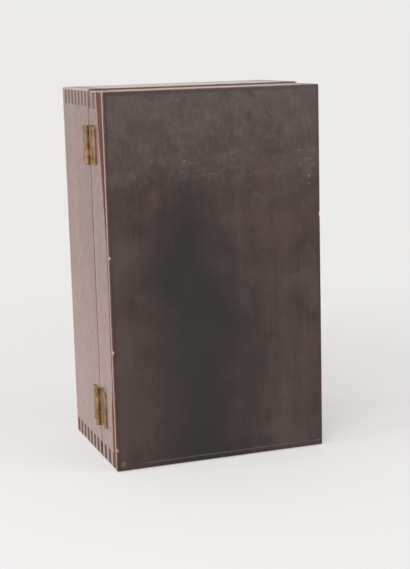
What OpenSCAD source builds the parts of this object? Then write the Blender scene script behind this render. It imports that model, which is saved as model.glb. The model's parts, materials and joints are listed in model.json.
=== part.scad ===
// Wooden microscope case of the small upright kind, standing with its door closed.
// Two comb-jointed frames, the body and the door, each closed by a plywood panel,
// meet at a seam and turn on two brass butt hinges on the left side.
// Two flat brass hooks on the right side keep the door shut.
// The origin is the middle of the base, +Z is up and the door faces -Y.

/* [Case] */
// Width of the case over its side boards
case_w = 167; // [150:1:190]
// Height of the case
case_h = 281; // [260:1:320]
// Thickness of the solid boards of both frames
board_t = 12.5; // [11:0.5:14]
// Depth of the boards of the body
body_d = 75; // [65:1:95]
// Depth of the boards of the door
door_d = 35; // [32:1:45]
// Thickness of the plywood panel on the door
door_panel_t = 5; // [4:0.5:7]
// Thickness of the plywood panel on the back
back_panel_t = 4; // [3:0.5:6]
// Gap between the closed door and the body
seam_gap = 1; // [0.8:0.1:1.6]
// Height that the door clears the table
door_base_gap = 0.4; // [0.2:0.1:1]
// Height that the top of the door lies below the top of the body
door_top_drop = 1.2; // [0.4:0.1:2]

/* [Comb joints] */
// Fingers along each joint of the body
body_fingers = 15; // [9:2:19]
// Fingers along each joint of the door
door_fingers = 6; // [4:1:9]

/* [Edges] */
// Rounding of the long outer edges
edge_r = 1.6; // [0.8:0.2:2.4]
// Rounding of the two edges at the seam
seam_r = 0.6; // [0.4:0.1:1]
// Rounding round the face of each plywood panel
panel_r = 1.2; // [0.6:0.2:2]

/* [Hinges] */
// Height of a hinge
hinge_h = 27.5; // [24:0.5:32]
// Width of one leaf, from the middle of its barrel
leaf_w = 17; // [14:0.5:20]
// Thickness of a leaf, which lies on the face of the boards
leaf_t = 1; // [0.8:0.1:1.2]
// Radius of a leaf's two free corners
leaf_corner_r = 1.2; // [0.5:0.1:2]
// Outer diameter of the barrel
barrel_d = 4; // [3.6:0.1:5]
// Diameter of the hinge pin
pin_d = 1.8; // [1.4:0.1:2.2]
// Knuckles on a hinge, an odd number
knuckles = 5; // [3:2:7]
// Distance from each end of the case to the middle of a hinge
hinge_inset = 40.8; // [34:0.2:60]
// Gap between two neighbouring knuckles
knuckle_gap = 0.15; // [0.1:0.05:0.3]
// Gap between the barrel and the side of the case
barrel_gap = 0.3; // [0.2:0.05:0.6]

/* [Hinge screws] */
// Diameter of a countersunk head
leaf_screw_head_d = 4.4; // [3.6:0.1:5]
// Diameter of a shank
leaf_screw_d = 2.2; // [1.8:0.1:2.6]
// Length of a screw under the outer face of its leaf
leaf_screw_l = 9; // [7:0.5:10]
// Height between the two screws of a leaf
leaf_screw_pitch = 17.5; // [12:0.5:19]

/* [Hooks] */
// Distance from a hook's pivot to its stud
hook_l = 32; // [29:0.5:38]
// Thickness of a hook
hook_t = 1.5; // [1.2:0.1:2]
// Radius of the round end on the pivot
hook_eye_r = 4.5; // [4:0.1:5.5]
// Radius of the round end on the stud
hook_end_r = 4.6; // [4.2:0.1:5.5]
// Radius of the arm where it meets the stud end
hook_arm_r = 2.6; // [2.2:0.1:3.4]
// Length of the thumb tab past the stud end
hook_tab_l = 5; // [4:0.5:7]
// Radius of the tip of the thumb tab
hook_tab_r = 1.7; // [1.3:0.1:2.2]
// Height of the lower hook's pivot above the base
lower_hook_z = 70; // [50:1:90]
// Height of the upper hook's pivot below the top of the case
upper_hook_drop = 70; // [50:1:90]
// Diameter of a pivot screw's shank and of a stud's neck
hook_pin_d = 3; // [2.6:0.1:3.4]
// Diameter of a pivot screw's round head
hook_screw_head_d = 7; // [6:0.2:8]
// Height of a pivot screw's round head
hook_screw_head_h = 2.2; // [1.8:0.1:2.8]
// Diameter of a stud's round head
stud_head_d = 5.6; // [5:0.1:6.6]
// Height of a stud's round head
stud_head_h = 1.6; // [1.2:0.1:2.2]
// Diameter of the washer and of the stud's flange
washer_d = 8; // [7:0.2:9]
// Thickness of the washer and of the stud's flange
washer_t = 0.6; // [0.4:0.1:1]
// Length of the screws of the hooks and studs in the wood
hook_screw_l = 9; // [7:0.5:10]

/* [Rails for the foot] */
// Width between the lower strips, where the foot slides in
foot_w = 104; // [96:1:110]
// Height under the caps, for the thickness of the foot
foot_t = 10; // [8:0.5:13]
// Width of a lower strip
rail_w = 10; // [8:0.5:12]
// Width that a cap reaches over the foot
cap_reach = 6; // [5:0.5:8]
// Thickness of a cap
cap_t = 5; // [4:0.5:7]
// Distance from the seam to the front of the rails
rail_setback = 3; // [2:0.5:8]
// Depth of the stop behind the foot
stop_d = 8; // [6:0.5:12]

/* [Supports] */
// Height of the middle of the supports above the base
support_z = 170; // [150:1:185]
// Height of each support
support_h = 34; // [26:1:40]
// Width of the space between the two cheeks, over their felts
limb_w = 24; // [20:1:30]
// Width of a cheek
cheek_w = 16; // [13:0.5:20]
// Depth of a cheek, from the back panel
cheek_d = 28; // [22:1:32]
// Width of the block on the door
pad_w = 44; // [36:1:56]
// Depth of the block on the door
pad_d = 14; // [10:1:18]
// Thickness of the felt on the supports
felt_t = 1.5; // [1:0.1:2.5]
// Distance from the edge of a block to its felt
felt_inset = 1.5; // [1:0.1:2.5]
// Rounding of the free edges of the blocks
block_r = 2; // [1:0.2:3]

/* [Hidden] */
$fn = 48;

// Places along Y, from the front of the door to the back of the case
case_d = door_panel_t + door_d + seam_gap + body_d + back_panel_t;
front_y = -case_d / 2;
door_y = front_y + door_panel_t;
door_seam_y = door_y + door_d;
body_seam_y = door_seam_y + seam_gap;
body_back_y = body_seam_y + body_d;
back_y = body_back_y + back_panel_t;

// Places across the case
left_x = -case_w / 2;
right_x = case_w / 2;
inner_x = right_x - board_t;

// The door is a little lower than the body, so that it swings clear of the table
door_h = case_h - door_base_gap - door_top_drop;

// Slack that a cutter reaches past the solid that it cuts
over = 1;
// Radial clearance of a pin in its knuckles and of a screw in its hole
pin_gap = 0.05;
screw_gap = 0.08;
// Running clearance on both faces of a hook
hook_gap = 0.1;
// Clearance between a leaf and the knuckles of the other leaf
leaf_gap = 0.35;
// Clearance round a stud's neck in the notch of its hook
notch_gap = 0.6;
// Clearance between glued blocks that are set by hand
glue_gap = 0.1;
// Height that the stop stays below the top of the rails
foot_play = 2;

// The leaves lie on the left face and the hinge axis outside it
barrel_r = barrel_d / 2;
face_off = barrel_r + barrel_gap;
axis_x = left_x - face_off;
axis_y = (door_seam_y + body_seam_y) / 2;
knuckle_h = hinge_h / knuckles;
hinge_zs = [hinge_inset, case_h - hinge_inset];
leaf_start = barrel_r + leaf_gap;
root_y = 0.8;
leaf_screw_y = (leaf_w + leaf_start) / 2;
pin_head_t = 0.8;
pin_head_step = 0.3;
seat_r = 0.2;
slot_w = 0.7;
slot_depth = 0.5;

// The hooks
stud_y = (door_y + door_seam_y) / 2;
pivot_y = stud_y + hook_l;
hook_zs = [lower_hook_z, case_h - upper_hook_drop];
hook_x = right_x + washer_t + hook_gap;
hook_head_x = hook_x + hook_t + hook_gap;
notch_r = hook_pin_d / 2 + notch_gap;
hook_arm_bulge = 0.9;

// The rails and the supports
rail_h = foot_t;
rail_front_y = body_seam_y + rail_setback;
rail_l = body_back_y - rail_front_y;
support_low_z = support_z - support_h / 2;
cheek_x = limb_w / 2 + felt_t;
cheek_front_y = body_back_y - cheek_d;

// Corner between two straight sides, cut away outside its rounding
module corner_cut(r) {
    difference() {
        translate([-over, -over]) square(r + over);
        translate([r, r]) circle(r = r);
    }
}

// Rectangle from the origin, its two near corners rounded by near_r and the others by far_r
module eased_rect(w, d, near_r, far_r) {
    difference() {
        square([w, d]);
        corner_cut(near_r);
        translate([w, 0]) mirror([1, 0]) corner_cut(near_r);
        translate([0, d]) mirror([0, 1]) corner_cut(far_r);
        translate([w, d]) mirror([1, 0]) mirror([0, 1]) corner_cut(far_r);
    }
}

// Space inside the eased outer faces of one half of the case, between two planes along Y
module half_envelope(y_low, y_high, z_low, h, low_r, high_r) {
    d = y_high - y_low;
    intersection() {
        translate([left_x, y_high, z_low]) rotate([90, 0, 0])
            linear_extrude(height = d) eased_rect(case_w, h, edge_r, edge_r);
        translate([left_x, y_low, z_low])
            linear_extrude(height = h) eased_rect(case_w, d, low_r, high_r);
        translate([left_x, y_low, z_low]) rotate([90, 0, 90])
            linear_extrude(height = case_w) side_outline(d, h, low_r, high_r);
    }
}

// The same easing seen from the side, where Y runs across and Z up
module side_outline(d, h, low_r, high_r) {
    translate([0, h]) rotate(-90) eased_rect(h, d, low_r, high_r);
}

module body_envelope() {
    half_envelope(body_seam_y, back_y, 0, case_h, seam_r, panel_r);
}

module door_envelope() {
    half_envelope(front_y, door_seam_y, door_base_gap, door_h, panel_r, seam_r);
}

// Places of every second finger along a joint, starting at finger number first
module fingers(y_low, depth, count, first, size_x, size_z) {
    w = depth / count;
    for (i = [first:2:count - 1])
        translate([0, y_low + i * w, 0]) cube([size_x, w, size_z]);
}

// Top or bottom board at height z, cut for the upright boards from finger number first
module cross_board(y_low, depth, count, z, first) {
    difference() {
        translate([left_x, y_low, z]) cube([case_w, depth, board_t]);
        for (x = [left_x - over, inner_x])
            translate([x, 0, z - over])
                fingers(y_low, depth, count, first, board_t + over, board_t + 2 * over);
    }
}

// Upright board from x. The cross board has the fingers 0, 2 and so on at the base, 1, 3 at the top
module upright_board(y_low, depth, count, x, z_low, h) {
    difference() {
        translate([x, y_low, z_low]) cube([board_t, depth, h]);
        translate([x - over, 0, z_low - over])
            fingers(y_low, depth, count, 0, board_t + 2 * over, board_t + over);
        translate([x - over, 0, z_low + h - board_t])
            fingers(y_low, depth, count, 1, board_t + 2 * over, board_t + over);
    }
}

// Holes in the left side for the screws of one leaf of each hinge
module leaf_screw_holes(dir) {
    for (z = hinge_zs)
        for (s = [-1, 1])
            translate([left_x - over, axis_y + dir * leaf_screw_y, z + s * leaf_screw_pitch / 2])
                rotate([0, 90, 0])
                    cylinder(d = leaf_screw_d + 2 * screw_gap, h = leaf_screw_l + screw_gap + over);
}

// Holes in the right side for the screws of the hooks or of the studs
module hook_holes(y) {
    for (z = hook_zs)
        translate([right_x - hook_screw_l - screw_gap, y, z]) rotate([0, 90, 0])
            cylinder(d = hook_pin_d + 2 * screw_gap, h = hook_screw_l + screw_gap + over);
}

module body_top_board() {
    color("rosybrown") intersection() {
        cross_board(body_seam_y, body_d, body_fingers, case_h - board_t, 0);
        body_envelope();
    }
}

module body_bottom_board() {
    color("rosybrown") intersection() {
        cross_board(body_seam_y, body_d, body_fingers, 0, 1);
        body_envelope();
    }
}

module body_left_board() {
    color("rosybrown") intersection() {
        difference() {
            upright_board(body_seam_y, body_d, body_fingers, left_x, 0, case_h);
            leaf_screw_holes(1);
        }
        body_envelope();
    }
}

module body_right_board() {
    color("rosybrown") intersection() {
        difference() {
            upright_board(body_seam_y, body_d, body_fingers, inner_x, 0, case_h);
            hook_holes(pivot_y);
        }
        body_envelope();
    }
}

module back_panel() {
    color("saddlebrown") intersection() {
        translate([left_x, body_back_y, 0]) cube([case_w, back_panel_t, case_h]);
        body_envelope();
    }
}

module door_top_rail() {
    color("rosybrown") intersection() {
        cross_board(door_y, door_d, door_fingers, door_base_gap + door_h - board_t, 0);
        door_envelope();
    }
}

module door_bottom_rail() {
    color("rosybrown") intersection() {
        cross_board(door_y, door_d, door_fingers, door_base_gap, 1);
        door_envelope();
    }
}

module door_left_stile() {
    color("rosybrown") intersection() {
        difference() {
            upright_board(door_y, door_d, door_fingers, left_x, door_base_gap, door_h);
            leaf_screw_holes(-1);
        }
        door_envelope();
    }
}

module door_right_stile() {
    color("rosybrown") intersection() {
        difference() {
            upright_board(door_y, door_d, door_fingers, inner_x, door_base_gap, door_h);
            hook_holes(stud_y);
        }
        door_envelope();
    }
}

module door_panel() {
    color([0.27, 0.2, 0.19]) intersection() {
        translate([left_x, front_y, door_base_gap]) cube([case_w, door_panel_t, door_h]);
        door_envelope();
    }
}

// Knuckles of one leaf, every second one from number first, with radius r
module knuckle_rows(first, r) {
    for (i = [first:2:knuckles - 1])
        translate([0, 0, i * knuckle_h - hinge_h / 2 + knuckle_gap / 2])
            cylinder(r = r, h = knuckle_h - knuckle_gap);
}

// Part of the leaf that runs under its own knuckles
module knuckle_roots(first) {
    for (i = [first:2:knuckles - 1])
        translate([face_off - leaf_t, root_y, i * knuckle_h - hinge_h / 2 + knuckle_gap / 2])
            cube([leaf_t, leaf_start - root_y + over, knuckle_h - knuckle_gap]);
}

// Plate of a leaf beside the barrel, its two free corners rounded
module leaf_plate() {
    translate([face_off - leaf_t, 0, 0]) rotate([90, 0, 90])
        linear_extrude(height = leaf_t)
            translate([leaf_w, -hinge_h / 2]) rotate(90)
                eased_rect(hinge_h, leaf_w - leaf_start, leaf_corner_r, seat_r);
}

// Countersunk hole or head, with its flat end at the outer face of a leaf, grown by extra all round
module countersink(extra) {
    depth = (leaf_screw_head_d - leaf_screw_d) / 2;
    cylinder(d1 = leaf_screw_head_d + 2 * extra, d2 = leaf_screw_d + 2 * extra, h = depth);
}

// One leaf, with its barrel on the origin and its plate along +Y
module hinge_leaf(first) {
    difference() {
        union() {
            leaf_plate();
            knuckle_roots(first);
            knuckle_rows(first, barrel_r);
        }
        translate([0, 0, -hinge_h / 2 - over])
            cylinder(d = pin_d + 2 * pin_gap, h = hinge_h + 2 * over);
        for (s = [-1, 1])
            translate([face_off - leaf_t, leaf_screw_y, s * leaf_screw_pitch / 2])
                rotate([0, 90, 0]) {
                    countersink(screw_gap);
                    cylinder(d = leaf_screw_d + 2 * screw_gap, h = leaf_t + over);
                }
    }
}

// Pin of a hinge, with a low domed end at the top and at the bottom
module hinge_pin() {
    translate([0, 0, -hinge_h / 2]) cylinder(d = pin_d, h = hinge_h);
    for (s = [-1, 1]) translate([0, 0, s * (hinge_h / 2 + pin_head_t / 2)])
        cylinder(r = barrel_r - pin_head_step, h = pin_head_t, center = true);
}

// Countersunk wood screw with a slotted head, pointing along +X from the outer face of a leaf
module leaf_screw(turn) {
    cone = (leaf_screw_head_d - leaf_screw_d) / 2;
    rotate([0, 90, 0]) difference() {
        union() {
            countersink(0);
            cylinder(d = leaf_screw_d, h = leaf_t + leaf_screw_l - leaf_screw_d);
            translate([0, 0, leaf_t + leaf_screw_l - leaf_screw_d])
                cylinder(d1 = leaf_screw_d, d2 = leaf_screw_d / 4, h = leaf_screw_d);
        }
        rotate(turn) translate([-slot_w / 2, -leaf_screw_head_d, -over])
            cube([slot_w, 2 * leaf_screw_head_d, over + slot_depth]);
    }
}

// Four screws of the leaves on one half of the case
module leaf_screws(dir) {
    for (k = [0, 1])
        for (s = [-1, 1])
            translate([left_x - leaf_t, axis_y + dir * leaf_screw_y,
                       hinge_zs[k] + s * leaf_screw_pitch / 2])
                leaf_screw(35 + 70 * k + 40 * s);
}

module body_leaf(k) {
    color("darkgoldenrod") translate([axis_x, axis_y, hinge_zs[k]]) hinge_leaf(0);
}

module door_leaf(k) {
    color("goldenrod") translate([axis_x, axis_y, hinge_zs[k]])
        mirror([0, 1, 0]) hinge_leaf(1);
}

module pin_at(k) {
    color("peru") translate([axis_x, axis_y, hinge_zs[k]]) hinge_pin();
}

module lower_hinge_body_leaf() { body_leaf(0); }

module upper_hinge_body_leaf() { body_leaf(1); }

module lower_hinge_door_leaf() { door_leaf(0); }

module upper_hinge_door_leaf() { door_leaf(1); }

module lower_hinge_pin() { pin_at(0); }

module upper_hinge_pin() { pin_at(1); }

module body_leaf_screws() {
    color("peru") leaf_screws(1);
}

module door_leaf_screws() {
    color("peru") leaf_screws(-1);
}

// Outline of a hook that hangs down from its eye, with its notch open towards +Y
module hook_outline() {
    arm_low = -hook_l + hook_end_r;
    tab_z = -hook_l - hook_end_r - hook_tab_l + hook_tab_r;
    difference() {
        union() {
            circle(r = hook_eye_r);
            translate([0, -hook_l]) circle(r = hook_end_r);
            polygon([[-hook_arm_r - hook_arm_bulge, 0], [hook_arm_r + hook_arm_bulge, 0],
                     [hook_arm_r, arm_low], [hook_arm_r, -hook_l],
                     [-hook_arm_r, -hook_l], [-hook_arm_r, arm_low]]);
            translate([-hook_tab_r, tab_z]) square([2 * hook_tab_r, -hook_l - tab_z]);
            translate([0, tab_z]) circle(r = hook_tab_r);
        }
        translate([0, -hook_l]) circle(r = notch_r);
        translate([0, -hook_l - notch_r]) square([hook_end_r + over, 2 * notch_r]);
    }
}

// Flat hook on its pivot, in its place on the right side
module hook(k) {
    color("gold") translate([hook_x, pivot_y, hook_zs[k]]) difference() {
        rotate([90, 0, 90]) linear_extrude(height = hook_t) hook_outline();
        translate([-over, 0, 0]) rotate([0, 90, 0])
            cylinder(d = hook_pin_d + 2 * pin_gap, h = hook_t + 2 * over);
    }
}

// Low round head as a slice of a ball, resting on the plane Z = 0
module round_head(d, h) {
    ball_r = (d * d / 4 + h * h) / (2 * h);
    intersection() {
        translate([0, 0, h - ball_r]) sphere(r = ball_r, $fn = 64);
        cylinder(d = d, h = h);
    }
}

// Wood screw that carries a hook, with its slotted round head outside the hook
module hook_screw(k) {
    shank = hook_head_x - right_x + hook_screw_l;
    color("khaki") translate([right_x - hook_screw_l, pivot_y, hook_zs[k]]) rotate([0, 90, 0]) {
        translate([0, 0, hook_pin_d]) cylinder(d = hook_pin_d, h = shank - hook_pin_d);
        cylinder(d1 = hook_pin_d / 4, d2 = hook_pin_d, h = hook_pin_d);
        translate([0, 0, shank]) difference() {
            round_head(hook_screw_head_d, hook_screw_head_h);
            rotate(25 + 60 * k) translate([-slot_w / 2, -hook_screw_head_d, hook_screw_head_h / 2])
                cube([slot_w, 2 * hook_screw_head_d, hook_screw_head_h]);
        }
    }
}

// Washer between a hook and the side of the case
module hook_washer(k) {
    color("khaki") translate([right_x, pivot_y, hook_zs[k]]) rotate([0, 90, 0]) difference() {
        cylinder(d = washer_d, h = washer_t);
        translate([0, 0, -over]) cylinder(d = hook_pin_d + 2 * screw_gap, h = washer_t + 2 * over);
    }
}

// Turned stud on the door: a screw, a flange, a neck for the notch and a round head
module hook_stud(k) {
    color("khaki") translate([right_x - hook_screw_l, stud_y, hook_zs[k]]) rotate([0, 90, 0]) {
        translate([0, 0, hook_pin_d])
            cylinder(d = hook_pin_d, h = hook_screw_l + hook_head_x - right_x - hook_pin_d);
        cylinder(d1 = hook_pin_d / 4, d2 = hook_pin_d, h = hook_pin_d);
        translate([0, 0, hook_screw_l]) cylinder(d = washer_d, h = washer_t);
        translate([0, 0, hook_screw_l + hook_head_x - right_x])
            round_head(stud_head_d, stud_head_h);
    }
}

module lower_hook() { hook(0); }

module upper_hook() { hook(1); }

module lower_hook_screw() { hook_screw(0); }

module upper_hook_screw() { hook_screw(1); }

module lower_hook_washer() { hook_washer(0); }

module upper_hook_washer() { hook_washer(1); }

module lower_hook_stud() { hook_stud(0); }

module upper_hook_stud() { hook_stud(1); }

// Rails that hold the foot: on each side a strip on the floor and a cap that reaches over the foot
module foot_rail(side) {
    color("tan") translate([side * (foot_w / 2 + rail_w / 2), rail_front_y, board_t])
        translate([-rail_w / 2, 0, 0]) cube([rail_w, rail_l, rail_h]);
}

module foot_cap(side) {
    w = rail_w + cap_reach;
    color("burlywood") translate([side * (foot_w / 2 + rail_w - w / 2), rail_front_y, board_t + rail_h])
        rotate([90, 0, 0]) mirror([0, 0, 1]) linear_extrude(height = rail_l)
            translate([-w / 2, 0]) difference() {
                square([w, cap_t]);
                translate([0, cap_t]) mirror([0, 1]) corner_cut(block_r);
                translate([w, cap_t]) mirror([1, 0]) mirror([0, 1]) corner_cut(block_r);
            }
}

module foot_rail_left() { foot_rail(-1); }

module foot_rail_right() { foot_rail(1); }

module foot_cap_left() { foot_cap(-1); }

module foot_cap_right() { foot_cap(1); }

// Strip behind the foot, between the two rails
module foot_stop() {
    w = foot_w - 2 * glue_gap;
    color("tan") translate([-w / 2, body_back_y - stop_d, board_t]) cube([w, stop_d, foot_t - foot_play]);
}

// Block with eased free corners, standing on the plane Y = 0 and reaching towards -Y
module eased_block(w, d, h) {
    intersection() {
        translate([-w / 2, 0, 0]) mirror([0, 1]) linear_extrude(height = h)
            eased_rect_far(w, d, block_r);
        translate([-w / 2, 0, 0]) rotate([90, 0, 90]) linear_extrude(height = w)
            rotate(90) eased_rect_far(h, d, block_r);
    }
}

// Rectangle from the origin with its two far corners rounded
module eased_rect_far(w, d, r) {
    difference() {
        square([w, d]);
        translate([0, d]) mirror([0, 1]) corner_cut(r);
        translate([w, d]) mirror([1, 0]) mirror([0, 1]) corner_cut(r);
    }
}

// Cheek on the back panel, beside the slot for the limb
module limb_cheek(side) {
    color("tan") translate([side * (cheek_x + cheek_w / 2), body_back_y, support_low_z])
        eased_block(cheek_w, cheek_d, support_h);
}

// Felt on the inner face of a cheek
module limb_felt(side) {
    d = cheek_d - block_r - 2 * felt_inset;
    h = support_h - 2 * block_r - 2 * felt_inset;
    color("darkgreen") translate([side * (cheek_x - felt_t / 2), 0, 0])
        translate([-felt_t / 2, body_back_y - felt_inset - d, support_z - h / 2])
            cube([felt_t, d, h]);
}

module limb_cheek_left() { limb_cheek(-1); }

module limb_cheek_right() { limb_cheek(1); }

module limb_felt_left() { limb_felt(-1); }

module limb_felt_right() { limb_felt(1); }

// Block on the inside of the door, which steadies the tube when the door is closed
module tube_pad_block() {
    color("tan") translate([0, door_y, support_low_z])
        mirror([0, 1, 0]) eased_block(pad_w, pad_d, support_h);
}

module tube_pad_felt() {
    w = pad_w - 2 * block_r - 2 * felt_inset;
    h = support_h - 2 * block_r - 2 * felt_inset;
    color("darkgreen") translate([-w / 2, door_y + pad_d, support_z - h / 2]) cube([w, felt_t, h]);
}

body_top_board();
body_bottom_board();
body_left_board();
body_right_board();
back_panel();
door_top_rail();
door_bottom_rail();
door_left_stile();
door_right_stile();
door_panel();
upper_hinge_body_leaf();
upper_hinge_door_leaf();
upper_hinge_pin();
lower_hinge_body_leaf();
lower_hinge_door_leaf();
lower_hinge_pin();
body_leaf_screws();
door_leaf_screws();
upper_hook();
upper_hook_screw();
upper_hook_washer();
upper_hook_stud();
lower_hook();
lower_hook_screw();
lower_hook_washer();
lower_hook_stud();
foot_rail_left();
foot_rail_right();
foot_cap_left();
foot_cap_right();
foot_stop();
limb_cheek_left();
limb_cheek_right();
limb_felt_left();
limb_felt_right();
tube_pad_block();
tube_pad_felt();
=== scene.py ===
"""Dressed model of an upright wooden microscope case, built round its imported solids."""
import json
import logging
import math
from dataclasses import dataclass
from enum import Enum

import bmesh
import bpy
import numpy as np
from mathutils import Matrix, Vector

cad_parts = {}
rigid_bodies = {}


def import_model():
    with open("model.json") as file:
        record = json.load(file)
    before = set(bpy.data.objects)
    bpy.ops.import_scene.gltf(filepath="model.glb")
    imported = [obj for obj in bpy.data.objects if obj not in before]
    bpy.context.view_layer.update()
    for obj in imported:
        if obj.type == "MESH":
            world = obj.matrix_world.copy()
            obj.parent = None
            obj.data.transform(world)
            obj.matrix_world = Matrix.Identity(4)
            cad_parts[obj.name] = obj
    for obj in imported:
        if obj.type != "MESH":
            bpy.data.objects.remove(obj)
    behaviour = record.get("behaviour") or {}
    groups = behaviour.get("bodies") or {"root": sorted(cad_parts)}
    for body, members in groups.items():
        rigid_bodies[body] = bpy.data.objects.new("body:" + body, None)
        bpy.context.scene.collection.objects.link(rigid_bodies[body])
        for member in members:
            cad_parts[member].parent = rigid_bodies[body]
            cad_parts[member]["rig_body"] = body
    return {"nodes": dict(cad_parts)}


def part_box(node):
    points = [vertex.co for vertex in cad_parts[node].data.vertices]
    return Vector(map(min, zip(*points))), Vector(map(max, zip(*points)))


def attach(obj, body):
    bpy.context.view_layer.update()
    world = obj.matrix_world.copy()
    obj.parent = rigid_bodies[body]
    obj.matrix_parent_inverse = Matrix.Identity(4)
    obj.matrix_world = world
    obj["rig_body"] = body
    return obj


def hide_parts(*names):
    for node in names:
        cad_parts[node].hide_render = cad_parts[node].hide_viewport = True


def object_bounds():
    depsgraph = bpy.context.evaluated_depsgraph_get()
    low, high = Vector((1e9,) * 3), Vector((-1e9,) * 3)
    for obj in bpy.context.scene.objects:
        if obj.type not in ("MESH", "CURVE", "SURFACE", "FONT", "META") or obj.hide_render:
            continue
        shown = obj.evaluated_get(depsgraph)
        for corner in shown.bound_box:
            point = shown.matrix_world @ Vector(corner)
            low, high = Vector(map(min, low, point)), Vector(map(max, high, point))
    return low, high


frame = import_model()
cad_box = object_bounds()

Colour = tuple[float, float, float]
Point = tuple[float, float, float]
Band = tuple[float, float]
Spot = tuple[Point, float, float]
Socket = bpy.types.NodeSocket
Value = Socket | float | Colour

log = logging.getLogger("case")

MM = 0.001

# Outer faces of the wooden case: half its width, and its front
SIDE_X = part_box("door_panel")[1][0]
FRONT_Y = cad_box[0][1]
# Back of the door's panel, where the boards begin
PANEL_BACK_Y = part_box("door_panel")[1][1]
# Thickness of the solid boards
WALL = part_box("body_top_board")[1][2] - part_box("body_top_board")[0][2]

# Plain wood on the inner faces
INSIDE: Colour = (0.470, 0.330, 0.205)

# Vertices nearer to each other than this are one, and faces that turn less than this are flat
WELD = 0.002 * MM
FLAT = math.radians(0.6)
# Grid lines across half of a rounded edge, and digits kept when a box's six grids are welded
TURN_LINES = 5
GRID_DIGITS = 8
# Wave numbers along X, Y and Z and phase of each sine in the slight waves of a surface
WAVES = (((61.0, 47.0, 23.0), 0.0), ((-29.0, 83.0, 41.0), 1.7), ((97.0, 31.0, -37.0), 0.6))


class Axis(Enum):
    """Direction along which the grain of a board runs."""

    ACROSS = 0
    DEEP = 1
    UPRIGHT = 2


@dataclass(frozen=True)
class Layer:
    """Colour laid over a finish, from nothing at one value of a pattern to its share at another."""

    colour: Colour
    start: float
    end: float
    share: float = 1.0


def scaled(colour: Colour, factor: float) -> Colour:
    """Return a colour made darker or lighter by a factor."""
    return tuple(factor * part for part in colour)


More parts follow.
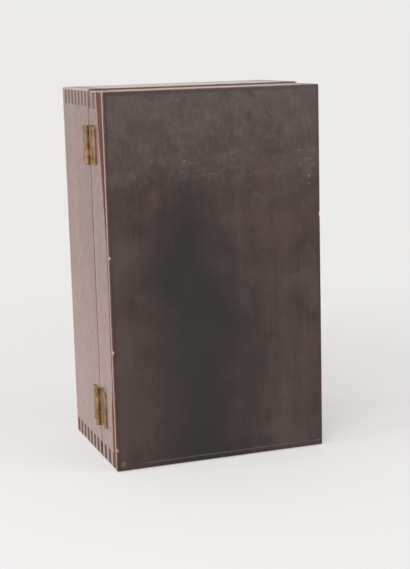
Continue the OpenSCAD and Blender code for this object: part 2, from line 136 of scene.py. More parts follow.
class Recipe:
    """Node tree of one material, with short calls for the nodes that it needs."""

    def __init__(self, name: str) -> None:
        """Start a material with one Principled shader.

        Args:
            name: Name of the material.
        """
        self.material = bpy.data.materials.new(name)
        self.material.use_nodes = True
        self.tree = self.material.node_tree
        self.tree.nodes.clear()
        self.shader = self.tree.nodes.new("ShaderNodeBsdfPrincipled")
        self.output = self.tree.nodes.new("ShaderNodeOutputMaterial")
        self.tree.links.new(self.shader.outputs[0], self.output.inputs["Surface"])
        place = self.tree.nodes.new("ShaderNodeTexCoord")
        self.place = place.outputs["Object"]
        self.normal = place.outputs["Normal"]

    def put(self, socket: Socket, value: Value) -> None:
        """Link a socket into another, or set a plain value on it.

        Args:
            socket: Input that is filled.
            value: Output to link, a colour or a number.
        """
        if isinstance(value, bpy.types.NodeSocket):
            self.tree.links.new(value, socket)
        elif isinstance(value, tuple) and len(value) == 3 and socket.type == "RGBA":
            socket.default_value = (*value, 1.0)
        else:
            socket.default_value = value

    def add(self, kind: str, inputs: dict[object, Value], **settings: object) -> bpy.types.Node:
        """Add a node, set its options and fill its inputs.

        Args:
            kind: Type of the node.
            inputs: What fills each input, by the input's name or number.
            **settings: Options of the node.

        Returns:
            The new node.
        """
        node = self.tree.nodes.new(kind)
        for key, value in settings.items():
            setattr(node, key, value)
        for key, value in inputs.items():
            self.put(node.inputs[key], value)
        return node

    def maths(self, kind: str, a: Value, b: Value = 0.0, c: Value = 0.0) -> Socket:
        """Return one step of arithmetic on two or three numbers."""
        return self.add("ShaderNodeMath", {0: a, 1: b, 2: c}, operation=kind).outputs[0]

    def times(self, a: Value, b: Value) -> Socket:
        """Return a product, such as a mask at part of its strength."""
        return self.maths("MULTIPLY", a, b)

    def linear(self, value: Value, slope: Value, start: Value) -> Socket:
        """Return the start plus the slope times a value."""
        return self.maths("MULTIPLY_ADD", value, slope, start)

    def blend(self, first: Socket, second: Socket, share: float) -> Socket:
        """Return the given share of one pattern plus the rest of another."""
        return self.linear(first, share, self.times(second, 1.0 - share))

    def away(self, value: Value, centre: Value) -> Socket:
        """Return how far a value lies from a centre."""
        return self.maths("ABSOLUTE", self.maths("SUBTRACT", value, centre))

    def parts(self, vector: Socket) -> tuple[Socket, Socket, Socket]:
        """Return the three parts of a vector."""
        node = self.add("ShaderNodeSeparateXYZ", {0: vector})
        return node.outputs[0], node.outputs[1], node.outputs[2]

    def squarely(self, axis: int) -> Socket:
        """Return how squarely a face looks along an axis, from 0 to 1."""
        return self.maths("ABSOLUTE", self.parts(self.normal)[axis])

    def step(self, value: Value, start: float, end: float) -> Socket:
        """Return a smooth rise from 0 at one value to 1 at another.

        Args:
            value: Value that is looked at.
            start: Where the result is 0, as it is beyond it. It may be the larger one.
            end: Where the result is 1, as it is beyond it.

        Returns:
            The mask, between 0 and 1.
        """
        node = self.add("ShaderNodeMapRange",
                        {"Value": value, "From Min": start, "From Max": end},
                        interpolation_type="SMOOTHSTEP")
        return node.outputs["Result"]

    def between(self, value: Value, rise: Band, fall: Band) -> Socket:
        """Return 1 from the end of a rise to the end of a fall, which is read from its 0."""
        return self.times(self.step(value, *rise), self.step(value, *fall))

    def stretched(self, scale: Point, shift: Point = (0.0, 0.0, 0.0)) -> Socket:
        """Return the object's coordinates, scaled and then shifted."""
        inputs = {"Vector": self.place, "Location": shift, "Scale": scale}
        return self.add("ShaderNodeMapping", inputs).outputs[0]

    def along(self, grain: Axis, squeeze: float, shift: Point = (0.0, 0.0, 0.0)) -> Socket:
        """Return the object's coordinates, squeezed along the grain so that patterns draw out.

        Args:
            grain: Direction of the grain.
            squeeze: Scale along it.
            shift: Shift of the pattern.

        Returns:
            The coordinates.
        """
        scale = [1.0, 1.0, 1.0]
        scale[grain.value] = squeeze
        return self.stretched(tuple(scale), shift)

    def noise(self, vector: Socket, scale: float, detail: float = 3.0, rough: float = 0.55,
              warp: float = 0.0) -> Socket:
        """Return smooth noise between 0 and 1.

        Args:
            vector: Coordinates that it reads.
            scale: Number of its largest features in a metre.
            detail: Number of finer layers.
            rough: Strength of each finer layer over the one before it.
            warp: How far it is warped by itself.

        Returns:
            The noise.
        """
        inputs = {"Vector": vector, "Scale": scale, "Detail": detail, "Roughness": rough,
                  "Distortion": warp}
        return self.add("ShaderNodeTexNoise", inputs).outputs[0]

    def mix(self, mask: Value, first: Value, second: Value) -> Socket:
        """Return the first colour where the mask is 0 and the second where it is 1."""
        inputs = {0: mask, 6: first, 7: second}
        return self.add("ShaderNodeMix", inputs, data_type="RGBA").outputs[2]

    def mask(self, pattern: Value, layer: Layer) -> Socket:
        """Return how strongly a pattern calls for a layer."""
        return self.times(self.step(pattern, layer.start, layer.end), layer.share)

    def lay(self, colour: Value, pattern: Value, layer: Layer) -> Socket:
        """Return a colour with a layer over it where the pattern calls for it."""
        return self.mix(self.mask(pattern, layer), colour, layer.colour)

    def planed(self, streak: Socket) -> Socket:
        """Return plain wood without varnish, as the inner faces show it."""
        return self.mix(self.step(streak, 0.3, 0.7), scaled(INSIDE, 0.72), INSIDE)

    def edge_gap(self, low: Point, high: Point) -> Socket:
        """Return how far a point on a box lies from the box's nearest edge.

        A point on a face lies at 0 from that face, so its gap to the nearest edge is the
        middle one of its three gaps to the nearest face along each axis.

        Args:
            low: Lowest corner of the box.
            high: Highest corner of the box.

        Returns:
            The gap in metres.
        """
        gaps = []
        for axis, part in enumerate(self.parts(self.place)):
            centre, half = (low[axis] + high[axis]) / 2, (high[axis] - low[axis]) / 2
            gaps.append(self.maths("SUBTRACT", half, self.away(part, centre)))
        least = self.maths("MINIMUM", gaps[0], gaps[1])
        most = self.maths("MAXIMUM", gaps[0], gaps[1])
        return self.maths("MAXIMUM", least, self.maths("MINIMUM", most, gaps[2]))

    def spots(self, marks: tuple[Spot, ...], ragged: Socket) -> Value:
        """Return a mask that is strongest in small ragged spots.

        Args:
            marks: Centre, radius and strength of each spot, in metres.
            ragged: Noise that frays their outlines.

        Returns:
            The greatest of the spots' masks at each point.
        """
        total: Value = 0.0
        for centre, radius, strength in marks:
            gap = self.add("ShaderNodeVectorMath", {0: self.place, 1: centre},
                           operation="DISTANCE").outputs["Value"]
            frayed = self.linear(ragged, radius * 1.6, gap)
            mask = self.step(frayed, radius * 1.9, radius * 1.2)
            total = self.maths("MAXIMUM", total, self.times(mask, strength))
        return total

    def finish(self, colour: Socket, rough: Value, height: Socket, depth: float,
               strength: float) -> bpy.types.Material:
        """Fill the shader's main inputs.

        Args:
            colour: Base colour.
            rough: Roughness.
            height: Height map of the fine relief.
            depth: Depth of the relief in metres.
            strength: Strength of the relief.

        Returns:
            The finished material.
        """
        relief = {"Height": height, "Strength": strength, "Distance": depth}
        self.put(self.shader.inputs["Base Color"], colour)
        self.put(self.shader.inputs["Roughness"], rough)
        self.put(self.shader.inputs["Normal"], self.add("ShaderNodeBump", relief).outputs[0])
        return self.material


@dataclass(frozen=True)
class BoardPatterns:
    """Noise that the layers of a board's finish share."""

    streak: Socket
    grit: Socket
    cloud: Socket
    mottle: Socket


@dataclass(frozen=True)
class VarnishedWood:
    """Old reddish varnish on a solid board, with end grain, plain wood inside and worn edges.

    A board's finish spans the whole wooden case, from low to high, so that the edges of the
    case wear and its inner faces stay plain.
    """

    name: str
    grain: Axis
    low: Point
    high: Point
    strip: bool = False
    gouges: tuple[Spot, ...] = ()

    # Face of the board, by its streaks, clouds, height, grit and flecks, and a painted sheen on
    # faces that look up
    light: Colour = (0.215, 0.104, 0.083)
    dark: Colour = (0.130, 0.056, 0.044)
    pale: Colour = (0.310, 0.192, 0.160)
    streaked: Band = (0.30, 0.70)
    clouded: Layer = Layer((0.235, 0.142, 0.124), 0.42, 0.70, 0.55)
    # Paler towards the base
    paler_low: Layer = Layer(pale, 190 * MM, 20 * MM, 0.65)
    dark_grit: Layer = Layer(scaled(dark, 0.6), 0.50, 0.68, 0.40)
    pale_grit: Layer = Layer(pale, 0.46, 0.30, 0.45)
    flecks: Layer = Layer(scaled(dark, 0.35), 0.60, 0.70, 0.55)
    upward_painted_sheen: Layer = Layer((0.460, 0.345, 0.235), 0.70, 0.95, 0.32)

    # End grain, which is grimy near the base
    end: Colour = (0.070, 0.037, 0.026)
    end_light: Layer = Layer(scaled(end, 1.9), 0.35, 0.70)
    end_low: Colour = (0.060, 0.026, 0.022)
    end_facing: Band = (0.75, 0.92)
    grime_z: Band = (60 * MM, 5 * MM)
    grime: float = 0.7

    # Dull strip beside the door's panel: its colours, and its width by height
    strip_top: Colour = (0.085, 0.031, 0.014)
    strip_low: Layer = Layer((0.150, 0.048, 0.030), 190 * MM, 60 * MM)
    strip_dirt: Layer = Layer((0.024, 0.011, 0.007), 0.62, 0.38, 0.55)
    strip_grit: Layer = Layer(light, 0.54, 0.70, 0.30)
    strip_slope: float = 0.112
    strip_start: float = -19.0 * MM
    strip_foot: float = 3.4 * MM
    strip_foot_z: Band = (66 * MM, 40 * MM)
    strip_fray: float = 4.0 * MM
    strip_edge: Band = (3.2 * MM, 1.6 * MM)
    strip_side: Band = (-0.4, -0.8)
    strip_share: float = 0.92

    # Worn edges of the case, painted shade on the walls of the seam and in the deep marks
    worn: Layer = Layer((0.500, 0.350, 0.265), 0.9 * MM, -1.1 * MM, 0.75)
    fray: float = 3.2 * MM
    seam: Colour = (0.050, 0.023, 0.016)
    seam_facing: Band = (0.55, 0.90)
    seam_share: float = 0.90
    seam_upper: float = 0.50
    seam_upper_z: Band = (254 * MM, 262 * MM)
    seam_top: float = 0.22
    seam_top_z: Band = (278.6 * MM, 279.6 * MM)
    gouge_shade: Colour = (0.012, 0.008, 0.006)
    inner: Band = (-0.35 * MM, -0.1 * MM)

    # Roughness of the varnish, and what clouds, end grain, grime and plain wood add to it
    rough: float = 0.15
    rough_cloud: float = 0.14
    rough_end: float = 0.30
    rough_grime: float = 0.25
    rough_inside: float = 0.25
    relief: float = 0.10 * MM

    def make(self) -> bpy.types.Material:
        """Build the finish from its layers.

        Returns:
            The material.
        """
        r = Recipe(self.name)
        p = self.patterns(r)
        z = r.parts(r.place)[2]
        ends = r.step(r.squarely(self.grain.value), *self.end_facing)
        grimy = r.step(z, *self.grime_z)
        strip: Value = self.strip_mask(r, p.mottle) if self.strip else 0.0
        gouged = r.spots(self.gouges, p.mottle)
        inner = self.inner_mask(r)
        colour = r.mix(ends, self.face(r, p, z), self.end_grain(r, p, grimy))
        if self.strip:
            colour = r.mix(strip, colour, self.strip_colour(r, p, z))
        worn = r.linear(p.mottle, -self.fray, r.edge_gap(self.low, self.high))
        colour = r.lay(colour, worn, self.worn)
        # Painted shade on the walls of the seam between door and body
        colour = r.mix(self.seam_shade_mask(r, z), colour, self.seam)
        # Painted shade, near black, in the gouges
        colour = r.mix(gouged, colour, self.gouge_shade)
        colour = r.mix(inner, colour, r.planed(p.streak))
        rough = r.linear(p.cloud, self.rough_cloud, self.rough)
        rough = r.linear(ends, r.linear(grimy, self.rough_grime, self.rough_end), rough)
        rough = r.maths("MAXIMUM", r.maths("MAXIMUM", rough, strip), gouged)
        rough = r.linear(inner, self.rough_inside, rough)
        return r.finish(colour, rough, p.streak, self.relief, 0.7)

    def patterns(self, r: Recipe) -> BoardPatterns:
        """Make the noise that the layers share.

        Args:
            r: Material that is being made.

        Returns:
            Its patterns, of which streak and grit follow the grain.
        """
        along = r.along(self.grain, 0.045, (0.13, 0.27, 0.31))
        broad = r.noise(along, 75.0, 3.0, 0.5, 0.6)
        fine = r.noise(along, 620.0, 3.0, 0.6)
        return BoardPatterns(
            streak=r.blend(fine, broad, 0.45),
            grit=r.noise(r.along(self.grain, 0.35), 430.0, 4.0, 0.6),
            cloud=r.noise(r.place, 30.0, 3.0, 0.5, 0.5),
            mottle=r.noise(r.place, 210.0, 4.0, 0.7))

    def face(self, r: Recipe, p: BoardPatterns, z: Socket) -> Socket:
        """Return the varnished face of the board.

        Args:
            r: Material that is being made.
            p: Its patterns.
            z: Height above the base.

        Returns:
            The colour, with a painted sheen where a face looks up.
        """
        colour = r.mix(r.step(p.streak, *self.streaked), self.dark, self.light)
        colour = r.lay(colour, p.cloud, self.clouded)
        colour = r.lay(colour, z, self.paler_low)
        colour = r.lay(colour, p.grit, self.dark_grit)
        colour = r.lay(colour, p.grit, self.pale_grit)
        colour = r.lay(colour, p.mottle, self.flecks)
        # Painted sheen where a face looks up
        return r.lay(colour, r.parts(r.normal)[2], self.upward_painted_sheen)

    def end_grain(self, r: Recipe, p: BoardPatterns, grimy: Socket) -> Socket:
        """Return the mottled end grain, grimy near the base."""
        colour = r.lay(self.end, p.mottle, self.end_light)
        return r.mix(r.times(grimy, self.grime), colour, self.end_low)

    def strip_colour(self, r: Recipe, p: BoardPatterns, z: Socket) -> Socket:
        """Return the dull strip's colour, redder low down.

        Args:
            r: Material that is being made.
            p: Its patterns.
            z: Height above the base.

        Returns:
            The colour, with dirt in the streaks.
        """
        colour = r.lay(self.strip_top, z, self.strip_low)
        colour = r.lay(colour, p.streak, self.strip_dirt)
        return r.lay(colour, p.grit, self.strip_grit)

    def strip_mask(self, r: Recipe, ragged: Socket) -> Socket:
        """Return where the dull strip behind the door's panel lies.

        It reaches strip_start + strip_slope * z behind the panel, and strip_foot at the foot.

        Args:
            r: Material that is being made.
            ragged: Noise that frays its edge.

        Returns:
            The mask, on the left side of the case only.
        """
        _, y, z = r.parts(r.place)
        upper = r.linear(z, self.strip_slope, self.strip_start)
        lower = r.times(r.step(z, *self.strip_foot_z), self.strip_foot)
        reach = r.maths("MAXIMUM", upper, lower)
        depth = r.linear(ragged, self.strip_fray, r.maths("SUBTRACT", y, PANEL_BACK_Y))
        inside = r.step(r.maths("SUBTRACT", depth, reach), *self.strip_edge)
        left = r.step(r.parts(r.normal)[0], *self.strip_side)
        return r.times(left, r.times(inside, self.strip_share))

    def seam_shade_mask(self, r: Recipe, z: Socket) -> Socket:
        """Return how much painted shade the walls of the seam get.

        Args:
            r: Material that is being made.
            z: Height above the base.

        Returns:
            The mask, on faces that look forwards or back, weaker near the top.
        """
        facing = r.step(r.squarely(Axis.DEEP.value), *self.seam_facing)
        shade = r.linear(r.step(z, *self.seam_upper_z), -self.seam_upper, self.seam_share)
        shade = r.linear(r.step(z, *self.seam_top_z), -self.seam_top, shade)
        return r.times(facing, shade)

    def inner_mask(self, r: Recipe) -> Socket:
        """Return where a board looks into the case.

        Args:
            r: Material that is being made.

        Returns:
            1 on the inner faces and 0 outside them.
        """
        x, _, z = r.parts(r.place)
        middle = (self.low[2] + self.high[2]) / 2
        side = r.maths("SUBTRACT", (self.high[0] - self.low[0]) / 2 - WALL,
                       r.maths("ABSOLUTE", x))
        tall = r.maths("SUBTRACT", (self.high[2] - self.low[2]) / 2 - WALL, r.away(z, middle))
        return r.step(r.maths("MINIMUM", side, tall), *self.inner)


@dataclass(frozen=True)
class PanelPatterns:
    """Noise that the layers of a panel's finish share."""

    streak: Socket
    grit: Socket
    cloud: Socket
    tint: Socket
    mottle: Socket
    blotch: Socket


@dataclass(frozen=True)
class VarnishedPanel:
    """Dark varnish on the face of a plywood panel, with its layers on the edges.

    The panel fills the box from low to high, and outward is -1 where it faces -Y and 1
    where it faces +Y. The marks of use, the painted dark reflection and the painted highlight
    are on the one that faces -Y.
    """

    name: str
    low: Point
    high: Point
    outward: float
    chips: tuple[Spot, ...] = ()
    rubs: tuple[Spot, ...] = ()

    # Face of the panel, by its tone and tint, and a painted sheen that lightens it with height
    dark: Colour = (0.020, 0.0090, 0.0072)
    light: Colour = (0.050, 0.027, 0.022)
    toned: Band = (0.36, 0.66)
    high_painted_sheen: Layer = Layer((0.074, 0.055, 0.049), 205 * MM, 285 * MM, 0.75)
    dusty: Layer = Layer((0.056, 0.041, 0.035), 0.52, 0.68, 0.55)
    maroon: Layer = Layer((0.060, 0.026, 0.024), 0.48, 0.34, 0.50)

    # Dull rubbed blotches and a pale painted sheen, both strongest above the height band that
    # follows
    rubbed_and_sheen_z: Band = (185 * MM, 235 * MM)
    rubbed_and_sheen_low: float = 0.25
    dull: Layer = Layer(scaled(light, 0.8), 0.46, 0.70, 0.80)
    painted_sheen: Layer = Layer((0.115, 0.090, 0.082), 0.50, 0.30, 0.25)
    painted_sheen_grit: Layer = Layer((0.115, 0.090, 0.082), 0.55, 0.25, 0.32)

    # Painted dark reflection in the middle of the face: its centre line and half width, which both
    # change with height
    deep: Layer = Layer((0.004, 0.0015, 0.0008), 1.25, 0.20, 0.88)
    deep_z: Band = (238 * MM, 178 * MM)
    deep_x: float = -22 * MM
    deep_shift: float = 10 * MM
    deep_shift_z: Band = (150 * MM, 100 * MM)
    deep_width: float = 32 * MM
    deep_spread: float = 36 * MM
    deep_spread_z: Band = (205 * MM, 110 * MM)
    deep_fray: float = 22 * MM

    # Band of scuffs and haze across the face, and a painted highlight line near its lower edge
    band_rise: Band = (208 * MM, 222 * MM)
    band_fall: Band = (240 * MM, 228 * MM)
    scuffed_and_highlight: Colour = (0.190, 0.165, 0.150)
    scuff_lines: Layer = Layer(scuffed_and_highlight, 0.54, 0.70, 0.40)
    scuff_patch: Band = (0.46, 0.60)
    haze: Layer = Layer((0.074, 0.055, 0.049), 0.35, 0.65, 0.22)
    low_highlight_rise: Band = (4.1 * MM, 4.6 * MM)
    low_highlight_fall: Band = (5.3 * MM, 4.8 * MM)
    low_highlight_x: Band = (-70 * MM, -55 * MM)
    low_highlight: Layer = Layer(scuffed_and_highlight, 0.30, 0.55, 0.35)
    rubbed: Colour = (0.200, 0.175, 0.120)

    # Rim of the face, its worn edge and the chips in it
    rim: Layer = Layer((0.040, 0.014, 0.012), 5.6 * MM, 2.6 * MM, 0.75)
    rim_fray: float = 2.5 * MM
    worn: Layer = Layer((0.30, 0.20, 0.16), -0.2 * MM, -1.1 * MM, 0.30)
    worn_fray: float = 2.2 * MM
    chip: Colour = (0.52, 0.37, 0.28)

    # Layers of the plywood on its edges, by their share of its thickness
    ply_light: Colour = (0.400, 0.255, 0.200)
    ply_dark: Colour = (0.150, 0.075, 0.052)
    core_rise: Band = (0.30, 0.36)
    core_fall: Band = (0.72, 0.66)
    core_share: float = 0.55
    ply_mottle: Layer = Layer(ply_dark, 0.45, 0.75, 0.40)
    front_facing: Band = (0.12, 0.30)
    back_facing: Band = (-0.6, -0.9)

    # Roughness of the varnish, and what clouds and plain wood add to it
    rough: float = 0.22
    rough_cloud: float = 0.20
    rough_inside: float = 0.25
    relief: float = 0.12 * MM

    def make(self) -> bpy.types.Material:
        """Build the finish from its layers.

        Returns:
            The material.
        """
        r = Recipe(self.name)
        p = self.patterns(r)
        gap = r.edge_gap(self.low, self.high)
        facing = r.times(r.parts(r.normal)[1], self.outward)
        back = r.step(facing, *self.back_facing)
        colour = self.face(r, p)
        colour = r.lay(colour, r.linear(p.mottle, self.rim_fray, gap), self.rim)
        if self.outward < 0.0:
            # Painted dark reflection in the middle of the face
            colour = self.painted_dark_reflection(r, p, colour)
            # Scuffs, rubbed spots and a painted highlight line near the lower edge
            colour = self.scuffs_and_highlight(r, p, colour)
        colour = r.mix(r.step(facing, *self.front_facing), self.plies(r, p), colour)
        colour = r.lay(colour, r.linear(p.mottle, -self.worn_fray, gap), self.worn)
        colour = r.mix(r.spots(self.chips, p.mottle), colour, self.chip)
        colour = r.mix(back, colour, r.planed(p.streak))
        rough = r.linear(p.cloud, self.rough_cloud, self.rough)
        rough = r.linear(back, self.rough_inside, rough)
        return r.finish(colour, rough, r.linear(p.mottle, 0.25, p.streak), self.relief, 0.6)

    def patterns(self, r: Recipe) -> PanelPatterns:
        """Make the noise that the layers share.

        Args:
            r: Material that is being made.

        Returns:
            Its patterns, of which streak follows the upright grain.
        """
        along = r.along(Axis.UPRIGHT, 0.030, (0.41, 0.17, 0.09))
        broad = r.noise(along, 70.0, 3.0, 0.5, 0.4)
        fine = r.noise(along, 800.0, 2.0, 0.6)
        tinted = r.along(Axis.UPRIGHT, 0.7, (0.7, 0.2, 0.5))
        return PanelPatterns(
            streak=r.blend(fine, broad, 0.4),
            grit=r.noise(r.along(Axis.UPRIGHT, 0.45), 380.0, 4.0, 0.6, 0.6),
            cloud=r.noise(r.place, 24.0, 4.0, 0.55, 0.5),
            tint=r.noise(tinted, 38.0, 3.0, 0.5, 0.6),
            mottle=r.noise(r.place, 260.0, 4.0, 0.7),
            blotch=r.noise(r.place, 80.0, 4.0, 0.65, 0.2))

    def face(self, r: Recipe, p: PanelPatterns) -> Socket:
        """Return the varnished face, before its rim and marks.

        Args:
            r: Material that is being made.
            p: Its patterns.

        Returns:
            The colour, with painted sheen that lightens it towards the top and lies in pale
            blotches high up.
        """
        z = r.parts(r.place)[2]
        tone = r.blend(p.cloud, p.streak, 0.45)
        colour = r.mix(r.step(tone, *self.toned), self.dark, self.light)
        # Painted sheen that lightens the face towards the top
        colour = r.lay(colour, z, self.high_painted_sheen)
        colour = r.lay(colour, p.tint, self.dusty)
        colour = r.lay(colour, p.tint, self.maroon)
        # Height mask for the rubbed blotches and the painted sheen
        rubbed = r.linear(r.step(z, *self.rubbed_and_sheen_z), 1.0 - self.rubbed_and_sheen_low, self.rubbed_and_sheen_low)
        dull = r.times(r.mask(p.blotch, self.dull), rubbed)
        colour = r.mix(dull, colour, self.dull.colour)
        # Painted pale sheen, in blotches and grit
        painted_sheen = r.maths("ADD", r.mask(p.blotch, self.painted_sheen), r.mask(p.grit, self.painted_sheen_grit))
        return r.mix(r.times(painted_sheen, rubbed), colour, self.painted_sheen.colour)

    def painted_dark_reflection(self, r: Recipe, p: PanelPatterns, colour: Socket) -> Socket:
        """Return the colour with a painted dark reflection in the middle of the face.

        Its mask falls with the gap to the centre line over the half width at that height.

        Args:
            r: Material that is being made.
            p: Its patterns.
            colour: Colour of the face.

        Returns:
            The colour with the painted dark reflection.
        """
        x, _, z = r.parts(r.place)
        centre = r.linear(r.step(z, *self.deep_shift_z), self.deep_shift, self.deep_x)
        zone = r.linear(p.cloud, self.deep_fray, r.away(x, centre))
        width = r.linear(r.step(z, *self.deep_spread_z), self.deep_spread, self.deep_width)
        deep = r.mask(r.maths("DIVIDE", zone, width), self.deep)
        return r.mix(r.times(deep, r.step(z, *self.deep_z)), colour, self.deep.colour)

    def scuffs_and_highlight(self, r: Recipe, p: PanelPatterns, colour: Socket) -> Socket:
        """Return the colour with the band of scuff lines and haze, a painted highlight line near
        the lower edge and the rubbed spots.

        Args:
            r: Material that is being made.
            p: Its patterns.
            colour: Colour of the face.

        Returns:
            The marked colour.
        """
        x, _, z = r.parts(r.place)
        lines = r.noise(r.stretched((0.22, 1.0, 1.3), (0.3, 0.2, 0.1)), 420.0, 3.0, 0.7, 1.2)
        patch = r.noise(r.stretched((0.5, 1.0, 1.0), (0.9, 0.4, 0.6)), 75.0, 2.0)
        band = r.between(z, self.band_rise, self.band_fall)
        scuff = r.times(r.mask(lines, self.scuff_lines), r.step(patch, *self.scuff_patch))
        colour = r.mix(r.times(band, r.mask(patch, self.haze)), colour, self.haze.colour)
        colour = r.mix(r.times(scuff, band), colour, self.scuffed_and_highlight)
        # Painted highlight line near the lower edge, broken by the patches
        line = r.between(z, self.low_highlight_rise, self.low_highlight_fall)
        line = r.times(line, r.step(x, *self.low_highlight_x))
        line = r.times(line, r.mask(patch, self.low_highlight))
        colour = r.mix(line, colour, self.scuffed_and_highlight)
        return r.mix(r.spots(self.rubs, p.mottle), colour, self.rubbed)

    def plies(self, r: Recipe, p: PanelPatterns) -> Socket:
        """Return the edge of the plywood, with a dark core between two light layers.

        Args:
            r: Material that is being made.
            p: Its patterns.

        Returns:
            The colour.
        """
        depth = r.maths("SUBTRACT", r.parts(r.place)[1], self.low[1])
        share = r.maths("DIVIDE", depth, self.high[1] - self.low[1])
        core = r.times(r.between(share, self.core_rise, self.core_fall), self.core_share)
        return r.lay(r.mix(core, self.ply_light, self.ply_dark), p.mottle, self.ply_mottle)


@dataclass(frozen=True)
class AgedBrass:
    """Brass that has dulled and browned in clouds and specks."""

    name: str
    bright: Colour = (0.370, 0.240, 0.125)
    brown: Colour = (0.180, 0.100, 0.046)
    browned: Band = (0.40, 0.64)
    metal: float = 0.60
    rough: float = 0.42
    rough_cloud: float = 0.3
    relief: float = 0.03 * MM

    def make(self) -> bpy.types.Material:
        """Build the finish.

        Returns:
            The material.
        """
        r = Recipe(self.name)
        cloud = r.noise(r.place, 170.0, 4.0, 0.6)
        speck = r.noise(r.place, 900.0, 3.0, 0.7)
        colour = r.mix(r.step(r.blend(speck, cloud, 0.35), *self.browned), self.brown, self.bright)
        r.put(r.shader.inputs["Metallic"], self.metal)
        rough = r.linear(cloud, self.rough_cloud, self.rough)
        return r.finish(colour, rough, speck, self.relief, 0.5)


@dataclass(frozen=True)
class PlainWood:
    """Planed wood without varnish, for the fittings inside."""

    name: str
    grain: Axis
    light: Colour = (0.520, 0.370, 0.225)
    dark: Colour = (0.330, 0.210, 0.115)
    streaked: Band = (0.35, 0.65)
    ends: Layer = Layer(dark, 0.8, 0.95, 0.6)
    rough: float = 0.62
    relief: float = 0.10 * MM

    def make(self) -> bpy.types.Material:
        """Build the finish.

        Returns:
            The material.
        """
        r = Recipe(self.name)
        along = r.along(self.grain, 0.06, (0.07, 0.19, 0.23))
        broad = r.noise(along, 150.0, 3.0, 0.55, 0.7)
        fine = r.noise(along, 900.0, 2.0, 0.6)
        streak = r.blend(fine, broad, 0.4)
        colour = r.mix(r.step(streak, *self.streaked), self.dark, self.light)
        colour = r.lay(colour, r.squarely(self.grain.value), self.ends)
        return r.finish(colour, self.rough, streak, self.relief, 0.7)


@dataclass(frozen=True)
class Felt:
    """Dense wool felt with a soft nap."""

    name: str
    light: Colour = (0.050, 0.105, 0.060)
    dark: Colour = (0.018, 0.045, 0.026)
    toned: Band = (0.3, 0.7)
    rough: float = 0.95
    sheen: float = 0.5
    relief: float = 0.25 * MM

    def make(self) -> bpy.types.Material:
        """Build the finish.

        Returns:
            The material.
        """
        r = Recipe(self.name)
        nap = r.noise(r.place, 1500.0, 4.0, 0.75)
        cloud = r.noise(r.place, 120.0, 2.0)
        colour = r.mix(r.step(r.blend(nap, cloud, 0.6), *self.toned), self.dark, self.light)
        r.put(r.shader.inputs["Sheen Weight"], self.sheen)
        return r.finish(colour, self.rough, nap, self.relief, 0.9)


def placed(name: str, data: bpy.types.ID) -> bpy.types.Object:
    """Put a new object in the scene.

    Args:
        name: Name of the object.
        data: Mesh, lamp or camera that it holds.

    Returns:
        The object, at the origin.
    """
    obj = bpy.data.objects.new(name, data)
    bpy.context.scene.collection.objects.link(obj)
    return obj


@dataclass
class Surface:
    """Vertices and four-sided faces of one closed surface, as whole arrays."""

    points: np.ndarray
    faces: np.ndarray

    def piece(self, name: str, material: bpy.types.Material) -> bpy.types.Object:
        """Put the surface in the scene.

        Args:
            name: Name of the piece.
            material: Its finish.

        Returns:
            The object, at the origin, with smooth faces.
        """
        mesh = bpy.data.meshes.new(name)
        mesh.from_pydata(self.points.tolist(), [], self.faces.tolist())
        mesh.polygons.foreach_set("use_smooth", np.ones(len(self.faces), bool))
        mesh.materials.append(material)
        mesh.validate()
        mesh.update()
        return placed(name, mesh)


def divisions(low: float, high: float, radius: float, step: float) -> np.ndarray:
    """Space grid lines along one side of a box, close together at its rounded edges.

    At an end, the lines lie at radius * tan(a) from the start of the rounding, for equal
    steps of the angle a from 0 to 45 degrees.

    Args:
        low: One end of the side.
        high: The other end.
        radius: Radius of the edges.
        step: Spacing on the flat.

    Returns:
        The places of the lines, from low to high.
    """
    count = max(2, int(round((high - low - 2 * radius) / step)) + 1)
    turn = radius * np.tan(np.linspace(0.0, math.pi / 4, TURN_LINES))
    start = low + radius - turn[::-1]
    end = high - radius + turn
    return np.concatenate([start[:-1], np.linspace(low + radius, high - radius, count), end[1:]])


def box_grid(low: np.ndarray, high: np.ndarray, radius: float, step: float) -> Surface:
    """Cover the six faces of a box with grids that share their points along its edges.

    Each face is a grid over two parameters, its places along the two other axes.

    Args:
        low: Lowest corner.
        high: Highest corner.
        radius: Width beside each edge where the grid is close.
        step: Spacing of the grid on the flats.

    Returns:
        The closed surface, its faces turned outwards.
    """
    ticks = [divisions(low[k], high[k], radius, step) for k in range(3)]
    points, faces, start = [], [], 0
    for axis in range(3):
        u, v = (axis + 1) % 3, (axis + 2) % 3
        gu, gv = np.meshgrid(ticks[u], ticks[v], indexing="ij")
        index = np.arange(gu.size).reshape(gu.shape)
        quads = np.stack([index[:-1, :-1], index[1:, :-1], index[1:, 1:], index[:-1, 1:]], -1)
        for wall, order in ((high[axis], 1), (low[axis], -1)):
            face = np.empty((gu.size, 3))
            face[:, axis], face[:, u], face[:, v] = wall, gu.ravel(), gv.ravel()
            points.append(face)
            faces.append(quads.reshape(-1, 4)[:, ::order] + start)
            start += gu.size
    cloud = np.concatenate(points)
    _, first, merged = np.unique(np.round(cloud, GRID_DIGITS), axis=0, return_index=True,
                                 return_inverse=True)
    return Surface(cloud[first], merged.ravel()[np.concatenate(faces)])


